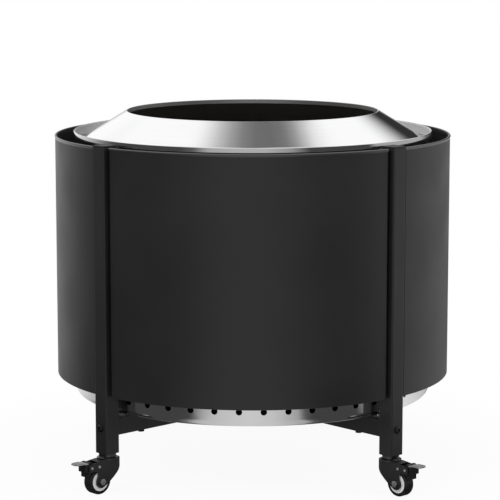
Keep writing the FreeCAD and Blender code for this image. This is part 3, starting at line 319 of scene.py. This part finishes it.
MATERIALS = {
    "powder_coat": powder_coat(),
    "hem_coat": powder_coat("hem_coat", coat=0.6, specular=1.0),
    "polished_steel": polished_steel(),
    "chamber_steel": chamber_steel(),
    "cast_iron": cast_iron(),
    "black_plastic": mottled(
        "black_plastic", tones=(0.006, 0.011), rough=(0.42, 0.55), patches=(30, 3),
        grain=(1800, 2), depth=0.03 * MM, specular=0.4),
    "black_screw": mottled(
        "black_screw", tones=(0.008, 0.02), rough=(0.3, 0.45), patches=(150, 4),
        grain=(900, 2), depth=0.02 * MM, metallic=0.6),
    "zinc_plate": mottled(
        "zinc_plate", tones=((0.50, 0.50, 0.51), (0.66, 0.66, 0.67)), rough=(0.26, 0.4),
        patches=(90, 3), grain=(900, 2), stretch=(0.15, 1, 1), depth=0.02 * MM, metallic=1.0),
    "race_steel": mottled(
        "race_steel", tones=((0.06, 0.06, 0.062), (0.11, 0.11, 0.112)), rough=(0.18, 0.3),
        patches=(120, 3), grain=(900, 2), depth=0.01 * MM, metallic=1.0),
    "hub_plastic": mottled(
        "hub_plastic", tones=(0.68, 0.76), rough=(0.3, 0.42), patches=(120, 3),
        grain=(1500, 2), depth=0.02 * MM),
    "tread_rubber": mottled(
        "tread_rubber", tones=(0.006, 0.014), rough=(0.3, 0.5), patches=(90, 4),
        grain=(700, 3), depth=0.04 * MM, specular=0.45)}


def finish_cad_nodes():
    for row in frame["record"]["subparts"]:
        item = NODES[row["node"]]
        if not item.material_slots:
            item.data.materials.append(None)
        for slot in item.material_slots:
            slot.material = MATERIALS[row["material_slot"]]


# Edges: real sheet, tube and mouldings have no knife edges, so each node's corners are eased

# Bevel widths in metres by the start of a node's name. The first start that fits counts.
EDGE_WIDTHS = {
    "post_caps": 0.6 * MM, "post_bolts": 0.2 * MM, "post_": 0.5 * MM,
    "brace_rail": 0.5 * MM, "brace_cross_plate": 0.5 * MM, "brace_cross_bolts": 0.3 * MM,
    "caster_fork": 0.6 * MM, "caster_hub": 0.4 * MM, "caster_tyre": 0.6 * MM,
    "caster_axle": 0.3 * MM, "caster_rivets": 0.5 * MM, "caster_stem": 0.4 * MM,
    "caster_sockets": 0.4 * MM, "brake_pedal": 0.5 * MM, "brake_shoe": 0.6 * MM,
    "drum_bolts": 0.3 * MM, "fire_grate": 0.6 * MM, "ash_pan_bar": 0.4 * MM}
# The short edges of these nodes' screw holes would clamp the whole bevel to almost nothing.
UNCLAMPED = ("post_", "brace_rail")
WELD_REACH = 0.002 * MM
FLAT_ANGLE = 0.3
SHARP_ANGLE = 28
EDGE_SEGMENTS = 2


def ease_edges(item, width, clamp):
    """Eases an item's sharp edges by a width in metres, with modifiers only."""
    weld = item.modifiers.new("weld", "WELD")
    weld.merge_threshold = WELD_REACH
    flat = item.modifiers.new("flat", "DECIMATE")
    flat.decimate_type = "DISSOLVE"
    flat.angle_limit = math.radians(FLAT_ANGLE)
    ease = item.modifiers.new("ease", "BEVEL")
    ease.width = width
    ease.segments = EDGE_SEGMENTS
    ease.limit_method = "ANGLE"
    ease.angle_limit = math.radians(SHARP_ANGLE)
    ease.harden_normals = False
    ease.use_clamp_overlap = clamp
    item.modifiers.new("shade", "WEIGHTED_NORMAL").keep_sharp = False


def ease_cad_nodes():
    for name, item in NODES.items():
        for start, width in EDGE_WIDTHS.items():
            if name.startswith(start):
                ease_edges(item, width, start not in UNCLAMPED)
                break


# Pieces of this scene's own

# Points in millimetres: (out from the drum's wall, up from its rim)
DRUM_HEM_SECTION = [
    (-0.4, -12.4), (0.6, -12.4), (1.1, -12.0), (1.3, -11.3), (1.1, -8.5), (0.3, -0.8),
    (0.1, -0.2), (-0.3, 0.2), (-1.2, 0.2), (-1.35, -0.1), (-1.0, -0.6)]
HEM_BEAD_RADIUS = 2.2 * MM
HEM_BEAD_INSET = 1.2 * MM
HEM_BEAD_DROP = 1.8 * MM
HEM_BEAD_STEP = 15
# Points in millimetres under the bead: (out from the bead's middle, down from the panel's top)
HEM_TAIL = [(1.9, 3.6), (1.1, 5.2), (-1.1, 5.2), (-1.9, 3.6)]
PANEL_TURNS = {"right": 0, "back": 90, "left": 180, "front": 270}
CREASE_ANGLE = 32


def revolved(name, profile, slot, look=None, turn_from=0.0, turn_to=360.0, steps=256):
    """A closed profile of (radius, height) points swept round Z, in metres and degrees."""
    whole = abs(turn_to - turn_from) >= 360
    rings = steps if whole else steps + 1
    points = []
    for index in range(rings):
        angle = math.radians(turn_from + (turn_to - turn_from) * index / steps)
        for radius, height in profile:
            points.append((radius * math.cos(angle), radius * math.sin(angle), height))
    count = len(profile)
    faces = []
    for index in range(steps):
        here = index * count
        there = (index + 1) % rings * count
        for step in range(count):
            other = (step + 1) % count
            faces.append((here + step, there + step, there + other, here + other))
    if not whole:
        faces.append(tuple(range(count)))
        faces.append(tuple(reversed(range(steps * count, steps * count + count))))
    mesh = bpy.data.meshes.new(name)
    mesh.from_pydata(points, [], faces)
    mesh.shade_smooth()
    mesh.set_sharp_from_angle(angle=math.radians(CREASE_ANGLE))
    item = bpy.data.objects.new(name, mesh)
    bpy.context.scene.collection.objects.link(item)
    mesh.materials.append(MATERIALS[look or slot])
    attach(item, "root")


def make_drum_hem():
    """The drum's rim is folded outwards into a safety hem that leans in a little."""
    _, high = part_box("outer_drum")
    wall, _, top = high
    section = [(wall + out * MM, top + up * MM) for out, up in DRUM_HEM_SECTION]
    revolved("drum_rim_hem", section, "polished_steel")


def make_panel_hems():
    """A round bead along each panel's hem, with its lower edges drawn in to the sheet."""
    _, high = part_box("side_panel_right")
    outer, aside, top = high
    half_turn = math.degrees(math.asin(aside / outer))
    middle = outer - HEM_BEAD_INSET
    section = []
    for degrees in range(180, -1, -HEM_BEAD_STEP):
        angle = math.radians(degrees)
        section.append((middle + HEM_BEAD_RADIUS * math.cos(angle),
                        top - HEM_BEAD_DROP + HEM_BEAD_RADIUS * math.sin(angle)))
    section += [(middle + out * MM, top - down * MM) for out, down in HEM_TAIL]
    for side, turn in PANEL_TURNS.items():
        revolved(f"panel_hem_{side}", section, "powder_coat", "hem_coat",
                 turn_from=turn - half_turn, turn_to=turn + half_turn, steps=96)


# Studio: what gloss reflects is brighter and darker by direction, as in a photographer's tent.
# Tones are (degrees round from the front, positive to the right; grey).

LOW_TONES = [
    (-180, 0.3), (-173, 0.4), (-167, 1.0), (-158, 1.0), (-150, 0.80), (-128, 0.5), (-112, 0.25),
    (-98, 0.07), (-84, 0.05), (-45, 0.05), (-36, 0.10), (-26, 0.38), (-10, 0.42), (10, 0.42),
    (26, 0.28), (38, 0.05), (80, 0.05), (86, 0.36), (112, 0.38), (136, 0.4), (148, 0.12),
    (160, 0.03), (172, 0.03), (178, 0.9)]
HIGH_TONES = [
    (-180, 0.165), (-171, 0.22), (-163, 0.36), (-157, 0.55), (-152.5, 0.8), (-149.5, 1.0),
    (-95, 1.0), (-86, 0.45), (-75, 0.25), (-62, 0.5), (-50, 1.0), (-26, 1.0), (-12, 0.4),
    (0, 0.2), (12, 0.4), (26, 1.0), (50, 1.0), (62, 0.5), (75, 0.25), (86, 0.45), (95, 1.0),
    (149.5, 1.0), (151.5, 0.84), (153.5, 0.53), (156.5, 0.30), (161, 0.18), (168, 0.15),
    (180, 0.16)]
NEAR_FLOOR_TONES = [
    (-180, 1.0), (-150, 0.85), (-120, 0.66), (-100, 0.44), (-90, 0.04), (-74, 0.04),
    (-62, 0.05), (-38, 0.05), (-32, 0.058), (-28, 0.17), (-24.3, 0.41), (-21, 0.49),
    (-12, 0.55), (0, 0.6), (12, 0.55), (25.4, 0.36), (28.8, 0.098), (33, 0.05), (60, 0.05),
    (70, 0.3), (80, 0.7), (100, 0.7), (132, 0.5), (152, 0.22), (172, 0.25), (178, 0.9)]
FAR_FLOOR_TONES = [
    (-180, 1.0), (-140, 0.95), (-110, 0.7), (-98, 0.42), (-88, 0.08), (-74, 0.08), (-60, 0.2),
    (-30, 0.42), (0, 0.48), (30, 0.40), (60, 0.3), (72, 0.6), (84, 1.0), (110, 1.0),
    (140, 0.75), (165, 0.6), (178, 0.95)]

# Each zone of the tent fades into the next between two heights, in degrees above the horizon.
LOW_TO_MIDDLE = (15, 38)
MIDDLE_TO_HIGH = (50, 58)
TO_OVERHEAD = (74, 88)
OVERHEAD_TONE = 0.4
DIFFUSE_TONE = 0.75

FLOOR_REACH = 9.0
NEAR_TO_FAR = (1.4, 4.5)
SHADOW_FADE = (0.35, 0.9)
SHADOW_LIGHTENING = 0.93
CLOTH_TONE = 0.8

LAMP_AIM = (0, 0, 0.35)
CAMERA_PLACE = (0.1088, -4.2046, 1.0626)
CAMERA_DIP = 8.76
CAMERA_TURN = 1.55
SENSOR_WIDTH_MM = 36.0
LENS_MM = 157.37


def azimuth_ramp(tree, azimuth, tones):
    share = remap(tree, azimuth, -math.pi, math.pi, 0.0, 1.0, "LINEAR")
    return ramp(tree, share, [(angle / 360 + 0.5, tone) for angle, tone in tones], "LINEAR")


def rise(tree, height, low, high):
    """From 0 to 1 as a direction climbs from low to high degrees above the horizon."""
    return remap(tree, height, math.sin(math.radians(low)), math.sin(math.radians(high)), 0.0, 1.0)


def make_world():
    world = bpy.data.worlds.new("tent")
    bpy.context.scene.world = world
    world.use_nodes = True
    tree = world.node_tree
    background = tree.nodes["Background"]
    azimuth, height = azimuth_of(tree, node(tree, "ShaderNodeTexCoord").outputs["Generated"])
    lower = mix_colours(tree, rise(tree, height, *LOW_TO_MIDDLE),
                        azimuth_ramp(tree, azimuth, LOW_TONES), WHITE)
    sides = mix_colours(tree, rise(tree, height, *MIDDLE_TO_HIGH), lower,
                        azimuth_ramp(tree, azimuth, HIGH_TONES))
    overhead = mix_colours(tree, rise(tree, height, *TO_OVERHEAD), WHITE, OVERHEAD_TONE)
    glossy = math_node(tree, "MINIMUM", sides, overhead)
    paths = node(tree, "ShaderNodeLightPath").outputs
    seen = mix_colours(tree, paths["Is Glossy Ray"], DIFFUSE_TONE, glossy)
    clear = math_node(tree, "MAXIMUM", paths["Is Camera Ray"], paths["Is Transmission Ray"])
    tree.links.new(mix_colours(tree, clear, seen, WHITE), background.inputs["Color"])


def floor_cloth():
    """Cloth that is white to the camera, takes a faint shadow, and shows its tones in gloss."""
    material = bpy.data.materials.new("floor")
    material.use_nodes = True
    tree = material.node_tree
    tree.nodes.remove(tree.nodes["Principled BSDF"])
    at = object_coords(tree)
    azimuth, _ = azimuth_of(tree, at)
    away = vector_math(tree, "LENGTH", at, output="Value")
    tone = mix_colours(tree, remap(tree, away, *NEAR_TO_FAR, 0.0, 1.0),
                       azimuth_ramp(tree, azimuth, NEAR_FLOOR_TONES),
                       azimuth_ramp(tree, azimuth, FAR_FLOOR_TONES))
    paths = node(tree, "ShaderNodeLightPath").outputs
    glow = node(tree, "ShaderNodeEmission")
    tree.links.new(mix_colours(tree, paths["Is Camera Ray"], tone, WHITE), glow.inputs["Color"])
    cloth = node(tree, "ShaderNodeBsdfDiffuse", Color=(CLOTH_TONE, CLOTH_TONE, CLOTH_TONE, 1))
    camera_share = times(tree, paths["Is Camera Ray"],
                         remap(tree, away, *SHADOW_FADE, SHADOW_LIGHTENING, 1.0))
    mixed = node(tree, "ShaderNodeMixShader")
    tree.links.new(math_node(tree, "MAXIMUM", camera_share, paths["Is Glossy Ray"]),
                   mixed.inputs[0])
    tree.links.new(cloth.outputs[0], mixed.inputs[1])
    tree.links.new(glow.outputs[0], mixed.inputs[2])
    tree.links.new(mixed.outputs[0], tree.nodes["Material Output"].inputs["Surface"])
    return material


def make_floor():
    mesh = bpy.data.meshes.new("floor")
    corners = [(x * FLOOR_REACH, y * FLOOR_REACH, 0)
               for x, y in ((-1, -1), (1, -1), (1, 1), (-1, 1))]
    mesh.from_pydata(corners, [], [(0, 1, 2, 3)])
    floor = bpy.data.objects.new("floor", mesh)
    bpy.context.scene.collection.objects.link(floor)
    mesh.materials.append(floor_cloth())


def make_lamp(name, place, size, power):
    lamp = bpy.data.lights.new(name, "AREA")
    lamp.shape = "DISK"
    lamp.size = size
    lamp.energy = power
    item = bpy.data.objects.new(name, lamp)
    item.location = place
    aim = Vector(LAMP_AIM) - Vector(place)
    item.rotation_euler = aim.to_track_quat("-Z", "Y").to_euler()
    item.visible_glossy = False
    bpy.context.scene.collection.objects.link(item)


def make_camera():
    """The photograph's view: low, straight on and from afar, the pit turned a little."""
    lens = bpy.data.cameras.new("camera")
    lens.sensor_width = SENSOR_WIDTH_MM
    lens.lens = LENS_MM
    camera = bpy.data.objects.new("camera", lens)
    camera.location = CAMERA_PLACE
    camera.rotation_euler = (math.radians(90 - CAMERA_DIP), 0, math.radians(CAMERA_TURN))
    bpy.context.scene.collection.objects.link(camera)
    bpy.context.scene.camera = camera


make_camera()
make_world()
make_floor()
make_lamp("key", place=(-1.8, -2.2, 2.6), size=1.6, power=40)
make_lamp("fill", place=(2.4, -1.6, 1.8), size=1.8, power=20)
bpy.context.scene.view_settings.view_transform = "Standard"
finish_cad_nodes()
ease_cad_nodes()
make_drum_hem()
make_panel_hems()
